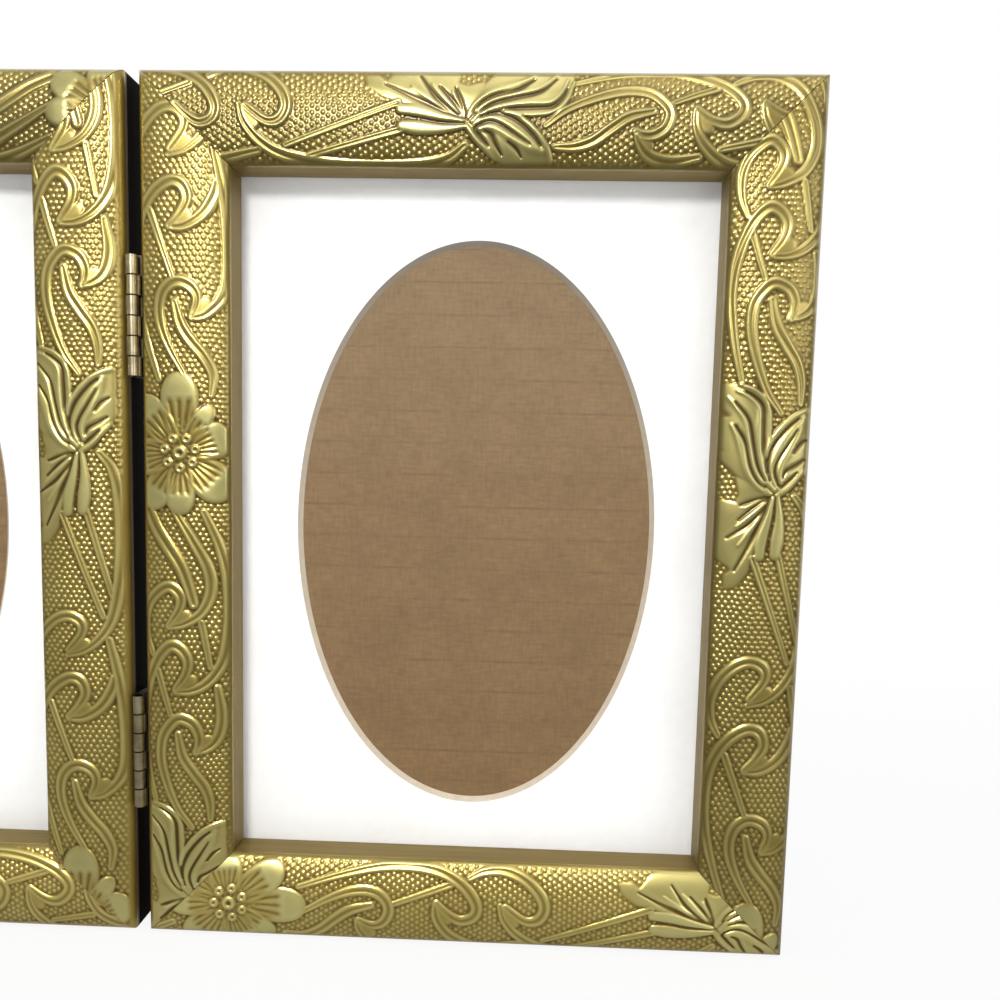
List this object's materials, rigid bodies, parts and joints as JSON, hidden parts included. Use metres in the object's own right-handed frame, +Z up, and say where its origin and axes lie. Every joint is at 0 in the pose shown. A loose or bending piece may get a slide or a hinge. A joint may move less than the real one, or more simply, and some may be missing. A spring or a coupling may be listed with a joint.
{
  "type": "hinged double photo frame",
  "caption": "Hinged double photo frame: gold embossed mitred leaves with glass and oval mats, joined by butt hinges so it opens flat and folds like a book until the faces meet.",
  "frame": {"origin": "on the hinge line between the leaves, at the floor, midway between front and back", "axes": "+X along the right leaf away from the hinges, +Y from the gold front to the back, +Z up"},
  "size_m": [0.3236, 0.0218, 0.2108],
  "materials": {
    "gilded_wood": "gold leafed, embossed, dark stained sides",
    "clear_glass": "clear polished",
    "mat_board": "matt white face, cream bevel",
    "kraft_card": "brown kraft, faint flecks",
    "hardboard": "brown hardboard",
    "hinge_brass": "pale plated, satin",
    "steel": "zinc plated"
  },
  "bodies": {
    "right_leaf": {"right_top_rail": "gilded_wood", "right_bottom_rail": "gilded_wood", "right_hinge_stile": "gilded_wood", "right_outer_stile": "gilded_wood", "right_glass": "clear_glass", "right_mat": "mat_board", "right_kraft_card": "kraft_card", "right_back_board": "hardboard", "right_corner_v_nails": "steel", "right_hinge_screws": "hinge_brass", "right_turn_button_screws": "steel", "right_upper_hinge_plate": "hinge_brass", "right_lower_hinge_plate": "hinge_brass", "upper_hinge_pin": "steel", "lower_hinge_pin": "steel"},
    "left_leaf": {"left_top_rail": "gilded_wood", "left_bottom_rail": "gilded_wood", "left_hinge_stile": "gilded_wood", "left_outer_stile": "gilded_wood", "left_glass": "clear_glass", "left_mat": "mat_board", "left_kraft_card": "kraft_card", "left_back_board": "hardboard", "left_corner_v_nails": "steel", "left_hinge_screws": "hinge_brass", "left_turn_button_screws": "steel", "left_upper_hinge_plate": "hinge_brass", "left_lower_hinge_plate": "hinge_brass"},
    "right_hinge_side_turn_button": {"right_hinge_side_turn_button": "steel"},
    "right_outer_turn_button": {"right_outer_turn_button": "steel"},
    "left_hinge_side_turn_button": {"left_hinge_side_turn_button": "steel"},
    "left_outer_turn_button": {"left_outer_turn_button": "steel"}
  },
  "joints": [
    {"name": "leaf_fold", "type": "hinge", "parent": "right_leaf", "child": "left_leaf", "pos_m": [0, -0.0081, 0], "axis": [0, 0, 1], "range_deg": [-8, 146]},
    {"name": "right_hinge_side_turn_button_swivel", "type": "hinge", "parent": "right_leaf", "child": "right_hinge_side_turn_button", "pos_m": [0.0128, 0.00835, 0.1054], "axis": [0, 1, 0], "range_deg": [-90, 90]},
    {"name": "right_outer_turn_button_swivel", "type": "hinge", "parent": "right_leaf", "child": "right_outer_turn_button", "pos_m": [0.1508, 0.00835, 0.1054], "axis": [0, 1, 0], "range_deg": [-90, 90]},
    {"name": "left_hinge_side_turn_button_swivel", "type": "hinge", "parent": "left_leaf", "child": "left_hinge_side_turn_button", "pos_m": [-0.0128, 0.00835, 0.1054], "axis": [0, 1, 0], "range_deg": [-90, 90]},
    {"name": "left_outer_turn_button_swivel", "type": "hinge", "parent": "left_leaf", "child": "left_outer_turn_button", "pos_m": [-0.1508, 0.00835, 0.1054], "axis": [0, 1, 0], "range_deg": [-90, 90]}
  ]
}
